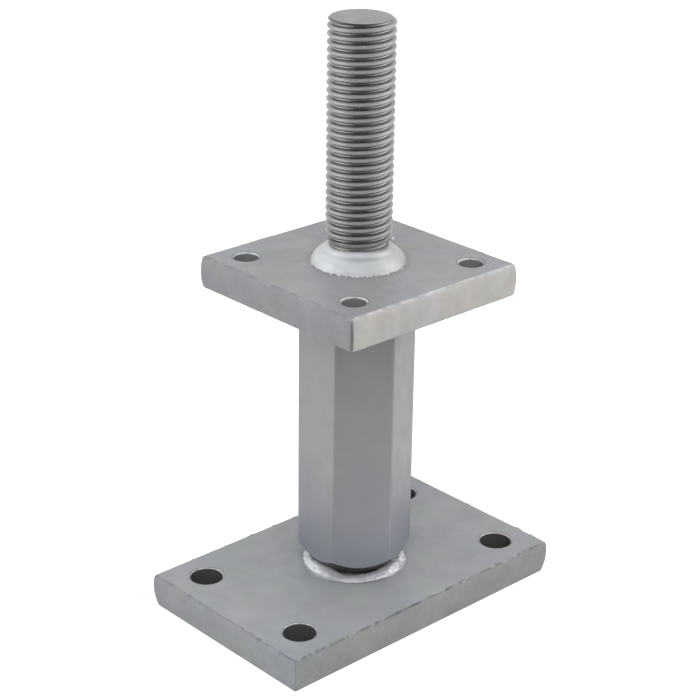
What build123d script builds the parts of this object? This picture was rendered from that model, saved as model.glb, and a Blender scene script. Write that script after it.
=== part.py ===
from build123d import *
import math
import os

os.makedirs("parts", exist_ok=True)

# Adjustable post base.
# A plate with four anchor holes stands on the foundation. A hexagonal sleeve is welded upright
# on it. A threaded rod screws into the sleeve and carries the square head plate that the post
# stands on. The rod goes on above the head plate, into the end grain of the post.
# All sizes are in millimetres. The origin is the centre of the underside of the base plate,
# +X runs along the plate and +Z points up. The head is shown screwed down as far as it goes.

# Base plate, cut from flat bar
base_length = 161.0
base_width = 100.0
base_thickness = 16.0
base_corner_radius = 1.5
anchor_hole_diameter = 15.0
anchor_hole_end_margin = 18.0
anchor_hole_side_margin = 17.5
anchor_hole_break = 0.3

# Head plate, cut from flat bar
head_length = 100.0
head_width = 100.0
head_thickness = 15.0
head_corner_radius = 2.0
head_edge_radius = 1.0
screw_hole_diameter = 11.0
screw_hole_margin = 15.0
screw_hole_chamfer = 0.8

# Cut sides of both plates bulge a little: an arc that stands proudest at the crown height
side_crown_radius = 36.0
base_crown_height = 10.5
head_crown_height = 7.5

# Threaded rod, with its thread drawn as the cylinder over the crests
rod_diameter = 30.0
rod_core_diameter = 26.2
rod_end_chamfer = 1.4
rod_reach = 108.5
rod_foot_gap = 8.5

# Hexagonal sleeve
sleeve_across_flats = 46.0
sleeve_length = 135.0
sleeve_turn = 25.4
sleeve_root_land = 0.45
sleeve_bevel_angle = 45.0
sleeve_top_land = 0.6
sleeve_top_chamfer_angle = 30.0
sleeve_mouth_chamfer = 1.0
sleeve_blank_margin = 1.0

# Weld beads, whose rounded faces are drawn as a few flats each
base_bead_overhang = 0.8
base_bead_height = 2.5
base_bead_crown_rise = 0.4
base_bead_crown_inset = 3.2
base_bead_shoulder_inset = 1.0
head_bead_width = 6.6
head_bead_height = 9.0
head_bead_step_width = 3.3
head_bead_step_height = 5.3
head_bead_lower_bulge = 0.9
head_bead_upper_bulge = 0.35

# Clearances, measured on the radius
thread_clearance = 0.05
plate_bore_clearance = 0.1
bead_clearance = 0.05

# Heights that the pieces share
sleeve_foot_level = base_thickness
sleeve_top_level = sleeve_foot_level + sleeve_length
head_top_level = sleeve_top_level + head_thickness
head_bead_top_level = head_top_level + head_bead_height
rod_top_level = head_top_level + rod_reach
rod_foot_level = sleeve_foot_level + rod_foot_gap

# Radii that the pieces share
rod_radius = rod_diameter / 2
rod_core_radius = rod_core_diameter / 2
sleeve_bore_radius = rod_radius + thread_clearance
sleeve_root_radius = sleeve_bore_radius + sleeve_root_land
sleeve_flat_radius = sleeve_across_flats / 2
sleeve_corner_radius = sleeve_flat_radius / math.cos(math.radians(30))
bevel_rise = math.tan(math.radians(sleeve_bevel_angle))


def drawn_in(height):
    """How far a crowned side has drawn in at this height above or below its crown."""
    return side_crown_radius - math.sqrt(side_crown_radius**2 - height**2)


def crowned_outline(width, underside, thickness, crown_height):
    """Upright outline of a plate whose two sides bulge, drawn around the middle."""
    crown = width / 2
    foot = crown - drawn_in(crown_height)
    brow = crown - drawn_in(thickness - crown_height)
    crown_level = underside + crown_height
    top = underside + thickness
    Line((-foot, underside), (foot, underside))
    ThreePointArc((foot, underside), (crown, crown_level), (brow, top))
    Line((brow, top), (-brow, top))
    ThreePointArc((-brow, top), (-crown, crown_level), (-foot, underside))


def corner_circles(length, width, end_margin, side_margin, diameter):
    """Four circles, each the same distance in from the ends and the sides of a plate."""
    with GridLocations(length - 2 * end_margin, width - 2 * side_margin, 2, 2):
        Circle(diameter / 2)


def bulging_point(start, end, bulge):
    """The point that stands this far out from the middle of a bead's face."""
    run = end[0] - start[0]
    rise = end[1] - start[1]
    reach = bulge / math.hypot(run, rise)
    return ((start[0] + end[0]) / 2 + rise * reach, (start[1] + end[1]) / 2 - run * reach)


# Base plate: two crossing lengths of crowned section within a rounded outline, with four
# anchor holes
with BuildPart() as base_plate:
    with BuildSketch(Plane.YZ):
        with BuildLine():
            crowned_outline(base_width, 0, base_thickness, base_crown_height)
        make_face()
    extrude(amount=base_length, both=True)
    with BuildSketch(Plane.XZ):
        with BuildLine():
            crowned_outline(base_length, 0, base_thickness, base_crown_height)
        make_face()
    extrude(amount=base_width, both=True, mode=Mode.INTERSECT)
    with BuildSketch(Plane.XY):
        RectangleRounded(base_length, base_width, base_corner_radius)
    extrude(amount=base_thickness, mode=Mode.INTERSECT)
    with BuildSketch(Plane.XY.offset(base_thickness)):
        corner_circles(
            base_length,
            base_width,
            anchor_hole_end_margin,
            anchor_hole_side_margin,
            anchor_hole_diameter,
        )
    extrude(amount=-base_thickness, mode=Mode.SUBTRACT)
    anchor_rims = base_plate.faces().sort_by(Axis.Z)[-1].inner_wires().edges()
    chamfer(anchor_rims, length=anchor_hole_break)

# Head plate: the same crowned form with rounded edges, four chamfered screw holes and a middle
# hole that the rod fills
with BuildPart() as head_plate:
    with BuildSketch(Plane.YZ):
        with BuildLine():
            crowned_outline(head_width, sleeve_top_level, head_thickness, head_crown_height)
        make_face()
    extrude(amount=head_length, both=True)
    with BuildSketch(Plane.XZ):
        with BuildLine():
            crowned_outline(head_length, sleeve_top_level, head_thickness, head_crown_height)
        make_face()
    extrude(amount=head_width, both=True, mode=Mode.INTERSECT)
    level_edges = head_plate.edges().group_by(Axis.Z)
    fillet(level_edges[0] + level_edges[-1], radius=head_edge_radius)
    with BuildSketch(Plane.XY.offset(sleeve_top_level)):
        RectangleRounded(head_length, head_width, head_corner_radius)
    extrude(amount=head_thickness, mode=Mode.INTERSECT)
    with BuildSketch(Plane.XY.offset(head_top_level)):
        corner_circles(
            head_length,
            head_width,
            screw_hole_margin,
            screw_hole_margin,
            screw_hole_diameter,
        )
    extrude(amount=-head_thickness, mode=Mode.SUBTRACT)
    screw_rims = head_plate.faces().sort_by(Axis.Z)[-1].inner_wires().edges()
    chamfer(screw_rims, length=screw_hole_chamfer)
    with BuildSketch(Plane.XY.offset(head_top_level)):
        Circle(rod_radius + plate_bore_clearance)
    extrude(amount=-head_thickness, mode=Mode.SUBTRACT)

# Hexagonal sleeve: a length of hexagon bar, cut back to a steep weld bevel below and a shallow
# chamfer above by a turned envelope, and bored through
with BuildPart() as hex_sleeve:
    with BuildSketch(Plane.XY.offset(sleeve_foot_level)):
        RegularPolygon(
            radius=sleeve_flat_radius,
            side_count=6,
            major_radius=False,
            rotation=sleeve_turn,
        )
    extrude(amount=sleeve_length)
    with BuildSketch(Plane.XZ):
        with BuildLine():
            blank_radius = sleeve_corner_radius + sleeve_blank_margin
            top_face_radius = sleeve_flat_radius - sleeve_top_land
            chamfer_fall = math.tan(math.radians(sleeve_top_chamfer_angle))
            bevel_top = sleeve_foot_level + (blank_radius - sleeve_root_radius) * bevel_rise
            chamfer_foot = sleeve_top_level - (blank_radius - top_face_radius) * chamfer_fall
            Polyline(
                (sleeve_bore_radius, sleeve_foot_level),
                (sleeve_root_radius, sleeve_foot_level),
                (blank_radius, bevel_top),
                (blank_radius, chamfer_foot),
                (top_face_radius, sleeve_top_level),
                (sleeve_bore_radius + sleeve_mouth_chamfer, sleeve_top_level),
                (sleeve_bore_radius, sleeve_top_level - sleeve_mouth_chamfer),
                close=True,
            )
        make_face()
    revolve(axis=Axis.Z, mode=Mode.INTERSECT)

# Threaded rod: chamfered ends, and a neck at the root of the thread where the head bead has
# run into it
with BuildPart() as threaded_rod:
    with BuildSketch(Plane.XZ):
        with BuildLine():
            Polyline(
                (0, rod_foot_level),
                (rod_radius - rod_end_chamfer, rod_foot_level),
                (rod_radius, rod_foot_level + rod_end_chamfer),
                (rod_radius, head_top_level),
                (rod_core_radius, head_top_level),
                (rod_core_radius, head_bead_top_level),
                (rod_radius, head_bead_top_level),
                (rod_radius, rod_top_level - rod_end_chamfer),
                (rod_radius - rod_end_chamfer, rod_top_level),
                (0, rod_top_level),
                close=True,
            )
        make_face()
    revolve(axis=Axis.Z)

# Base bead: one convex run that fills the notch between the bevel and the base plate
with BuildPart() as base_weld:
    with BuildSketch(Plane.XZ):
        with BuildLine():
            bead_top_level = sleeve_foot_level + base_bead_height
            bead_back_radius = sleeve_root_radius + base_bead_height / bevel_rise
            bead_toe_radius = sleeve_flat_radius + base_bead_overhang
            Polyline(
                (sleeve_root_radius, sleeve_foot_level),
                (bead_toe_radius, sleeve_foot_level),
                (bead_toe_radius - base_bead_shoulder_inset, bead_top_level - base_bead_crown_rise),
                (bead_toe_radius - base_bead_crown_inset, bead_top_level + base_bead_crown_rise),
                (bead_back_radius, bead_top_level),
                close=True,
            )
        make_face()
    revolve(axis=Axis.Z)

# Head bead: two runs one above the other, from the head plate up to the thread
with BuildPart() as head_weld:
    with BuildSketch(Plane.XZ):
        with BuildLine():
            bead_bore_radius = rod_core_radius + bead_clearance
            toe = (rod_radius + head_bead_width, head_top_level)
            step = (rod_radius + head_bead_step_width, head_top_level + head_bead_step_height)
            peak = (rod_radius, head_bead_top_level)
            Polyline(
                (bead_bore_radius, head_top_level),
                toe,
                bulging_point(toe, step, head_bead_lower_bulge),
                step,
                bulging_point(step, peak, head_bead_upper_bulge),
                peak,
                (bead_bore_radius, head_bead_top_level),
                close=True,
            )
        make_face()
    revolve(axis=Axis.Z)

base_plate.part.label = "base_plate"
hex_sleeve.part.label = "hex_sleeve"
base_weld.part.label = "base_weld"
head_plate.part.label = "head_plate"
threaded_rod.part.label = "threaded_rod"
head_weld.part.label = "head_weld"

export_step(base_plate.part, "parts/base_plate.step")
export_step(hex_sleeve.part, "parts/hex_sleeve.step")
export_step(base_weld.part, "parts/base_weld.step")
export_step(head_plate.part, "parts/head_plate.step")
export_step(threaded_rod.part, "parts/threaded_rod.step")
export_step(head_weld.part, "parts/head_weld.step")
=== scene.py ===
# %% [markdown]
# # Dressing an adjustable post base
#
# The part is a steel post base: a plate with four anchor holes, a hexagonal sleeve welded upright
# on it, and a threaded rod that carries a square head plate. Its solids are finished and stay
# where they are. This lesson gives each of them the surface that the real one has: rolled and
# sawn plate edges, a true thread, weld beads laid by hand, and a coat of zinc over all of it.
#
# Everything is in metres, in the frame of the solids, so each new piece is modelled in place.

# %% Load the solids
import math
import random

import bmesh
import bpy
from mathutils import Matrix, Vector


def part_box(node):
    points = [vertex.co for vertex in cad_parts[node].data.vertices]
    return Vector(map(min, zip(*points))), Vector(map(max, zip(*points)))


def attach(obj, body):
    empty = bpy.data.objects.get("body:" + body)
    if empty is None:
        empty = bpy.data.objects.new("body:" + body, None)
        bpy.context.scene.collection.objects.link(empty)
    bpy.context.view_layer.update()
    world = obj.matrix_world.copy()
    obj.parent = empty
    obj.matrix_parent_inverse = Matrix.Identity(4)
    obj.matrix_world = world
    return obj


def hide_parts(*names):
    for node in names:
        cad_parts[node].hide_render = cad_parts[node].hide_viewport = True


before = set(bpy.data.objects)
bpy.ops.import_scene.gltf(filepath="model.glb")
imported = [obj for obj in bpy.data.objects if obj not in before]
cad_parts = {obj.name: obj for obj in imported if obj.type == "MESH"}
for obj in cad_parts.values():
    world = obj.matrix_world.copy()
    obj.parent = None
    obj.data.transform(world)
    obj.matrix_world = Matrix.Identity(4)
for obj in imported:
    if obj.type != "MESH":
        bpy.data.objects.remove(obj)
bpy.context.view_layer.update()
MM = 0.001
print("solids to dress:", ", ".join(sorted(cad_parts)))

# %% [markdown]
# ## Sizes
#
# The solids already hold the sizes, so the lesson reads them from the boxes of the solids
# instead of writing them again. Only the sizes of surface detail are named later, where the
# detail is made.

# %% Read the sizes of the solids
base_low, base_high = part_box("base_plate")
head_low, head_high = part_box("head_plate")
sleeve_low, sleeve_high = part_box("hex_sleeve")
rod_low, rod_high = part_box("threaded_rod")
head_bead_low, head_bead_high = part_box("head_weld")
base_bead_low, base_bead_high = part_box("base_weld")


def farthest_corner(node):
    """The point of a solid that lies farthest from the upright axis."""
    points = [vertex.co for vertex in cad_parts[node].data.vertices]
    return max(points, key=lambda point: math.hypot(point.x, point.y))


def nearest_radius(node):
    """How near to the upright axis a solid comes, which is the radius of its bore."""
    points = [vertex.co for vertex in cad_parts[node].data.vertices]
    return min(math.hypot(point.x, point.y) for point in points)


sleeve_corner = farthest_corner("hex_sleeve")
sleeve_radius = math.hypot(sleeve_corner.x, sleeve_corner.y)
sleeve_turn = math.atan2(sleeve_corner.y, sleeve_corner.x)
sleeve_bore = nearest_radius("hex_sleeve")
head_bore = nearest_radius("head_plate")
print("base plate, mm:", [round(size / MM, 2) for size in base_high - base_low])
print("sleeve: corner radius", round(sleeve_radius / MM, 2), "bore", round(sleeve_bore / MM, 2))

# %% [markdown]
# ## The camera
#
# The photograph was taken with a long lens from above the near corner, so the upright edges
# hardly lean together. A camera is easiest to repeat as a place and a direction: the turn round
# the part, the height above the horizon, and a small roll.

# %% Place the camera
CAMERA_PLACE = Vector((-542.23, -576.594, 465.926)) * MM
CAMERA_TURN = math.radians(-43.0138)
CAMERA_RISE = math.radians(23.45)
CAMERA_ROLL = math.radians(0.8083)
CAMERA_LENS = 98.8094

camera_data = bpy.data.cameras.new("camera")
camera_data.sensor_width = 36
camera_data.lens = CAMERA_LENS
camera_data.clip_start = 0.05
camera_data.clip_end = 20
camera = bpy.data.objects.new("camera", camera_data)
bpy.context.scene.collection.objects.link(camera)
camera.matrix_world = (
    Matrix.Translation(CAMERA_PLACE)
    @ Matrix.Rotation(CAMERA_TURN, 4, "Z")
    @ Matrix.Rotation(math.radians(90) - CAMERA_RISE, 4, "X")
    @ Matrix.Rotation(CAMERA_ROLL, 4, "Z")
)
bpy.context.scene.camera = camera
bpy.context.scene.view_settings.view_transform = "Standard"
print("camera at, mm:", [round(value / MM, 1) for value in CAMERA_PLACE])

# %% [markdown]
# ## Working as by hand
#
# Blender's operators act on whatever is selected. So each step starts from nothing selected,
# picks faces, edges or points by their place, and then acts. These few helpers do the picking,
# so that the steps below read like the steps of a person at the screen.

# %% Helpers for selecting and shaping
# Points nearer than this are the same point
DOUBLED = 0.002 * MM
# Longer edges belong to the straight stretches of an outline
LONG_EDGE = 20 * MM


def start_clean():
    """Leave edit mode and select nothing."""
    if bpy.context.object and bpy.context.object.mode != "OBJECT":
        bpy.ops.object.mode_set(mode="OBJECT")
    bpy.ops.object.select_all(action="DESELECT")


def take(piece):
    """Make one piece the selected and active one."""
    start_clean()
    piece.select_set(True)
    bpy.context.view_layer.objects.active = piece


def settle(piece):
    """Put the place of a piece into its mesh."""
    take(piece)
    bpy.ops.object.transform_apply(location=True, rotation=True, scale=True)


def added(name):
    """The piece that was just added, with its name, and with its place put into its mesh."""
    piece = bpy.context.object
    piece.name = name
    settle(piece)
    return piece


def edit(piece, select_mode="FACE", action="DESELECT"):
    """Open a piece in edit mode with nothing selected, or with all of it."""
    take(piece)
    bpy.ops.object.mode_set(mode="EDIT")
    bpy.ops.mesh.select_mode(type=select_mode)
    bpy.ops.mesh.select_all(action=action)


def pick(piece, kind, test):
    """Select the faces, edges or verts of a piece in edit mode that pass a test."""
    mesh = bmesh.from_edit_mesh(piece.data)
    for item in getattr(mesh, kind):
        if test(item):
            item.select = True
    mesh.select_flush_mode()
    bmesh.update_edit_mesh(piece.data)


def run_along(edge, axis):
    """How far an edge runs along an axis."""
    return abs(edge.verts[0].co[axis] - edge.verts[1].co[axis])


def heal(piece):
    """Merge doubled points and turn every face outwards."""
    edit(piece, action="SELECT")
    bpy.ops.mesh.remove_doubles(threshold=DOUBLED)
    bpy.ops.mesh.normals_make_consistent(inside=False)
    bpy.ops.object.mode_set(mode="OBJECT")


def smooth(piece, degrees):
    """Shade a piece smooth, apart from edges sharper than an angle."""
    take(piece)
    bpy.ops.object.shade_smooth_by_angle(angle=math.radians(degrees))


def modify(piece, kind, **settings):
    """Add a modifier to a piece and apply it."""
    modifier = piece.modifiers.new(kind, kind)
    for name, value in settings.items():
        setattr(modifier, name, value)
    take(piece)
    bpy.ops.object.modifier_apply(modifier=modifier.name)


def cut(piece, cutter, operation="DIFFERENCE"):
    """Cut a piece with another and delete the cutter."""
    modify(piece, "BOOLEAN", operation=operation, solver="EXACT", object=cutter)
    take(cutter)
    bpy.ops.object.delete()


def draw(name, profile):
    """Draw a line through (radius, height) points, and leave all of it selected in edit mode."""
    start_clean()
    bpy.ops.mesh.primitive_plane_add(size=MM, location=(profile[0][0], 0, profile[0][1]))
    piece = added(name)
    edit(piece, "VERT", "SELECT")
    bpy.ops.mesh.merge(type="CENTER")
    for start, end in zip(profile, profile[1:]):
        step = (end[0] - start[0], 0, end[1] - start[1])
        bpy.ops.mesh.extrude_vertices_move(TRANSFORM_OT_translate={"value": step})
    bpy.ops.mesh.select_all(action="SELECT")
    return piece


def turned(name, profile, steps):
    """Draw a profile and spin it round the upright axis."""
    piece = draw(name, profile)
    bpy.ops.mesh.spin(steps=steps, angle=math.tau, center=(0, 0, 0), axis=(0, 0, 1))
    heal(piece)
    return piece


def weigh(piece, name, weight_of):
    """Give every point of a piece a weight that depends on its place."""
    group = piece.vertex_groups.new(name=name)
    for vertex in piece.data.vertices:
        group.add([vertex.index], min(1.0, max(0.0, weight_of(vertex.co))), "REPLACE")
    return group.name


def ruffle(piece, group, size, height, middle_level=0.5, depth=2):
    """Move the weighted points of a piece by soft noise with bumps of a given size."""
    texture = bpy.data.textures.new("ruffle", type="CLOUDS")
    texture.noise_scale = size
    texture.noise_depth = depth
    modify(
        piece,
        "DISPLACE",
        texture=texture,
        texture_coords="LOCAL",
        vertex_group=group,
        mid_level=middle_level,
        strength=height,
    )
    bpy.data.textures.remove(texture)


def swell(piece, group, height, direction="NORMAL"):
    """Move the weighted points of a piece by a height, outwards or along an axis."""
    modify(
        piece, "DISPLACE", vertex_group=group, direction=direction, mid_level=0, strength=height
    )


def mark(piece, name, value_of):
    """Store a value on every point of a piece, for its material to read."""
    attribute = piece.data.attributes.new(name, "FLOAT", "POINT")
    values = [value_of(vertex.co) for vertex in piece.data.vertices]
    attribute.data.foreach_set("value", values)


def count(piece):
    """Triangles in a piece."""
    piece.data.calc_loop_triangles()
    return len(piece.data.loop_triangles)


# %% [markdown]
# ## The two plates
#
# Both plates are cut from flat bar. A sawn or sheared side isn't flat: it swells a little, its
# lower edge is crisp, and its upper edge is ragged where the blade or the rolls left a burr.
# A box with bevelled edges would be too clean. So the plate grows from one flat face: the corners
# are rounded, the outline is divided finely, and the face is extruded upwards in small levels.
# Each level is drawn in by as much as the swelling arc asks. The edge then has enough points to
# be roughened with noise.

# %% Extrude a plate in levels
SIDE_ARC_RADIUS = 36 * MM
OUTLINE_STEP = 0.7 * MM
CORNER_STEPS = 6
LEVEL_STEP = 1.1 * MM
FLAT_BORDER = 0.5 * MM
# Where levels lie on the two rolls: shares of the lower one, degrees round the upper one
FOOT_SHARES = (0.0, 0.35, 1.0)
BROW_TURNS = (22, 45, 67, 90)


def drawn_in(height):
    """How far a swelling side has drawn in at this height above or below its crown."""
    return SIDE_ARC_RADIUS - math.sqrt(SIDE_ARC_RADIUS**2 - height**2)


def side_levels(thickness, crown, foot_roll, brow_roll):
    """Heights and insets of a plate's side, with a small roll at its lower and upper edge."""
    levels = []
    for share in FOOT_SHARES:
        height = foot_roll * share
        rolled_in = foot_roll * (1 - math.sqrt(share * (2 - share)))
        levels.append((height, drawn_in(crown - height) + rolled_in))
    body = thickness - foot_roll - brow_roll
    steps = round(body / LEVEL_STEP)
    for step in range(1, steps + 1):
        height = foot_roll + body * step / steps
        levels.append((height, drawn_in(abs(crown - height))))
    for turn in BROW_TURNS:
        angle = math.radians(turn)
        height = thickness - brow_roll * (1 - math.sin(angle))
        inset = drawn_in(abs(crown - height)) + brow_roll * (1 - math.cos(angle))
        levels.append((height, inset))
    levels.append((thickness, levels[-1][1] + FLAT_BORDER))
    return levels


def level_plate(name, low, high, corner, levels):
    """Grow a plate from one rounded face, level by level."""
    half_length = (high.x - low.x) / 2
    half_width = (high.y - low.y) / 2
    start_clean()
    bpy.ops.mesh.primitive_plane_add(size=2, location=(0, 0, low.z))
    piece = added(name)
    edit(piece, "VERT", "SELECT")
    reach = (half_length - levels[0][1], half_width - levels[0][1])
    bpy.ops.transform.resize(value=(*reach, 1))
    bpy.ops.mesh.bevel(offset=corner, segments=CORNER_STEPS, affect="VERTICES")
    for axis in (0, 1):
        bpy.ops.mesh.select_mode(type="EDGE")
        bpy.ops.mesh.select_all(action="DESELECT")
        pick(piece, "edges", lambda edge: run_along(edge, axis) > LONG_EDGE)
        bpy.ops.mesh.subdivide(number_cuts=round(2 * reach[axis] / OUTLINE_STEP))
    bpy.ops.mesh.select_mode(type="FACE")
    bpy.ops.mesh.select_all(action="SELECT")
    for (start, start_inset), (end, end_inset) in zip(levels, levels[1:]):
        bpy.ops.mesh.extrude_region_move(TRANSFORM_OT_translate={"value": (0, 0, end - start)})
        narrower = (
            (half_length - end_inset) / (half_length - start_inset),
            (half_width - end_inset) / (half_width - start_inset),
            1,
        )
        bpy.ops.transform.resize(value=narrower)
    heal(piece)
    return piece


# %% [markdown]
# A drilled hole has a rim. On the head plate it is countersunk by hand, so the far side of each
# hole catches the light; on the base plate only the burr was taken off. The cutter is a cylinder
# whose end is extruded outwards along a quarter circle, so that one cut makes hole and rim.

# %% Cut holes with rounded rims
HOLE_SIDES = 72
RIM_STEPS = 5
PAST_FACE = 2 * MM
FLAT_FRAME = 0.12 * MM
SAME_LEVEL = 0.01 * MM
BORE_RIMS = (0.1 * MM, 0.3 * MM)
# Shares of a rim's width that the marks of a hole and of its rim's painted highlight cover
WALL_SHARE = 0.03
RIM_HIGHLIGHT_SHARE = 0.6


def rimmed_cutter(place, radius, low, high, rim, under_rim):
    """A cylinder that flares at both faces of the plate it will cut."""
    start_clean()
    straight_low = low + under_rim
    straight_high = high - rim
    bpy.ops.mesh.primitive_cylinder_add(
        vertices=HOLE_SIDES,
        radius=radius,
        depth=straight_high - straight_low,
        location=(place[0], place[1], (straight_low + straight_high) / 2),
    )
    cutter = added("cutter")
    for sign, roll in ((1, rim), (-1, under_rim)):
        edit(cutter)
        # A known fault: the second time this takes the outermost ring of the upper roll too, and
        # that cuts a groove of 0.2 to 0.3 mm round each rim. Above 0.99 it would take the end alone.
        pick(cutter, "faces", lambda face: face.normal.z * sign > 0.9)
        reach = radius
        height = 0.0
        for step in range(1, RIM_STEPS + 1):
            angle = math.radians(90) * step / RIM_STEPS
            next_reach = radius + roll * (1 - math.cos(angle))
            next_height = roll * math.sin(angle)
            rise = (0, 0, sign * (next_height - height))
            bpy.ops.mesh.extrude_region_move(TRANSFORM_OT_translate={"value": rise})
            bpy.ops.transform.resize(value=(next_reach / reach, next_reach / reach, 1))
            reach = next_reach
            height = next_height
        bpy.ops.mesh.extrude_region_move(TRANSFORM_OT_translate={"value": (0, 0, sign * PAST_FACE)})
    bpy.ops.object.mode_set(mode="OBJECT")
    return cutter


def join(pieces):
    """Join several pieces into the first of them."""
    take(pieces[0])
    for piece in pieces[1:]:
        piece.select_set(True)
    bpy.ops.object.join()
    return pieces[0]


def frame_flats(piece, low, high):
    """Give the flat faces of a plate a thin border, so that their shading stays flat."""
    for level, sign in ((high, 1), (low, -1)):
        edit(piece)
        pick(
            piece,
            "faces",
            lambda face: face.normal.z * sign > 0.999
            and abs(face.calc_center_median().z - level) < SAME_LEVEL,
        )
        bpy.ops.mesh.inset(thickness=FLAT_FRAME, use_boundary=True, use_even_offset=True)
    bpy.ops.object.mode_set(mode="OBJECT")


def mark_holes(piece, places, radius, rim):
    """Mark the walls of the holes, and the inner part of their rims, which the material paints as a
    highlight.
    """

    def from_hole(point):
        return min(math.hypot(point.x - place[0], point.y - place[1]) for place in places)

    mark(piece, "hole", lambda point: from_hole(point) < radius + WALL_SHARE * rim)
    mark(piece, "rim", lambda point: from_hole(point) < radius + RIM_HIGHLIGHT_SHARE * rim)


def four_places(length, width):
    """The corners of a rectangle round the axis."""
    return [(sx * length / 2, sy * width / 2) for sx in (-1, 1) for sy in (-1, 1)]


def drill(piece, low, high, places, radius, rim, under_rim, bore=None):
    """Drill a plate at its places, and through its middle if it has a bore."""
    cutters = [rimmed_cutter(place, radius, low.z, high.z, rim, under_rim) for place in places]
    if bore:
        cutters.append(rimmed_cutter((0, 0), bore, low.z, high.z, *BORE_RIMS))
    cut(piece, join(cutters))
    frame_flats(piece, low.z, high.z)
    mark_holes(piece, places, radius, rim)


# %% [markdown]
# ### The base plate
#
# Its long sides are the ones with the ragged burr: short chips and crumbs, brighter and darker
# than the side. Coarse and fine noise together make it. The ends only waver softly, which takes
# one round of large noise. Both fade out a millimetre or two below the edge. Before them, a
# shallow noise dents all four sides a little, as a saw or a shear leaves them.

# %% Make the base plate
BASE_CORNER = 0.7 * MM
BASE_CROWN = 10.5 * MM
BURR_REACH = 1.1 * MM
WAVER_REACH = 2.6 * MM
DENT_SIZE = 2.6 * MM
# A hair's breadth, to keep clear of a border
HAIR = 0.05 * MM

base_levels = side_levels(
    base_high.z - base_low.z, BASE_CROWN, foot_roll=0.15 * MM, brow_roll=0.35 * MM
)
base_plate = level_plate("base_plate_steel", base_low, base_high, BASE_CORNER, base_levels)
base_flat_inset = base_levels[-1][1]


def on_side(point, high, flat_inset):
    """True if a point lies on one of a plate's four sides, and not on its flat faces."""
    return min(high.x - abs(point.x), high.y - abs(point.y)) < flat_inset - HAIR


def near_edge(point, high, flat_inset, reach):
    """1 at the upper edge of a plate's side, fading to 0 below it and on the flat top."""
    if not on_side(point, high, flat_inset):
        return 0.0
    return max(0.0, 1 - (high.z - point.z) / reach)


def on_long_side(point, high):
    """True if a point belongs to one of the sides that face along Y."""
    return high.y - abs(point.y) < high.x - abs(point.x)


def mottle(piece, high, flat_inset, height):
    """Dent the cut sides of a plate softly all over."""
    sides = weigh(piece, "sides", lambda point: on_side(point, high, flat_inset))
    ruffle(piece, sides, DENT_SIZE, height, middle_level=1.0)


base_burr = weigh(
    base_plate,
    "burr",
    lambda point: near_edge(point, base_high, base_flat_inset, BURR_REACH)
    * on_long_side(point, base_high),
)
base_waver = weigh(
    base_plate,
    "waver",
    lambda point: near_edge(point, base_high, base_flat_inset, WAVER_REACH)
    * (not on_long_side(point, base_high)),
)
mottle(base_plate, base_high, base_flat_inset, height=0.15 * MM)
ruffle(base_plate, base_burr, size=4.5 * MM, height=1.6 * MM, middle_level=0.75, depth=1)
ruffle(base_plate, base_burr, size=1.3 * MM, height=0.9 * MM, middle_level=0.8)
ruffle(base_plate, base_waver, size=7 * MM, height=2.2 * MM, middle_level=0.72, depth=1)
drill(
    base_plate,
    base_low,
    base_high,
    four_places(125 * MM, 65 * MM),
    radius=7.5 * MM,
    rim=0.7 * MM,
    under_rim=0.3 * MM,
)
smooth(base_plate, degrees=40)
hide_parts("base_plate")
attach(base_plate, "base")
print("base plate:", count(base_plate), "triangles")

# %% [markdown]
# ### The head plate
#
# The same bar work, with softer edges, because they were ground round. Along its long sides the
# material paints a bright line on the rounded edge: a painted highlight. The hole in the middle is
# filled by the rod.

# %% Make the head plate
HEAD_CORNER = 2.0 * MM
HEAD_ROLL = 0.8 * MM
HEAD_WAVER_REACH = 2.2 * MM

head_thickness = head_high.z - head_low.z
head_levels = side_levels(head_thickness, head_thickness / 2, HEAD_ROLL, HEAD_ROLL)
head_plate = level_plate("head_plate_steel", head_low, head_high, HEAD_CORNER, head_levels)
head_flat_inset = head_levels[-1][1]
head_waver = weigh(
    head_plate,
    "waver",
    lambda point: near_edge(point, head_high, head_flat_inset, HEAD_WAVER_REACH),
)
mottle(head_plate, head_high, head_flat_inset, height=0.22 * MM)
ruffle(head_plate, head_waver, size=4 * MM, height=0.7 * MM, middle_level=0.8)
drill(
    head_plate,
    head_low,
    head_high,
    four_places(70 * MM, 70 * MM),
    radius=5.5 * MM,
    rim=0.9 * MM,
    under_rim=0.4 * MM,
    bore=head_bore,
)
smooth(head_plate, degrees=40)
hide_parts("head_plate")
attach(head_plate, "head")
print("head plate:", count(head_plate), "triangles")

# %% [markdown]
# ## The hexagonal sleeve
#
# Drawn hexagon bar has edges that are rounded by less than a millimetre. Before it is welded,
# the foot is turned to a steep bevel, and the turned cut crosses the six flats in curves. The
# quickest true way to those curves is the lathe's own: the bar is crossed with a turned blank.

# %% Make the sleeve
SLEEVE_EDGE = 0.7 * MM
SLEEVE_ROOT_LAND = 0.45 * MM
SLEEVE_TOP_LAND = 0.6 * MM
SLEEVE_MOUTH = 1.0 * MM
SLEEVE_TOP_ANGLE = math.radians(30)
FOOT_BREAK = 0.2 * MM
BLANK_MARGIN = 1 * MM
TURNING_STEPS = 192

flat_radius = sleeve_radius * math.cos(math.pi / 6)
start_clean()
bpy.ops.mesh.primitive_cylinder_add(
    vertices=6,
    radius=sleeve_radius,
    depth=sleeve_high.z - sleeve_low.z,
    location=(0, 0, (sleeve_low.z + sleeve_high.z) / 2),
    rotation=(0, 0, sleeve_turn - math.radians(90)),
)
hex_sleeve = added("hex_sleeve_steel")
edit(hex_sleeve, "EDGE")
pick(hex_sleeve, "edges", lambda edge: run_along(edge, 2) > LONG_EDGE)
bpy.ops.mesh.bevel(offset=SLEEVE_EDGE, segments=4, affect="EDGES")

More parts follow.
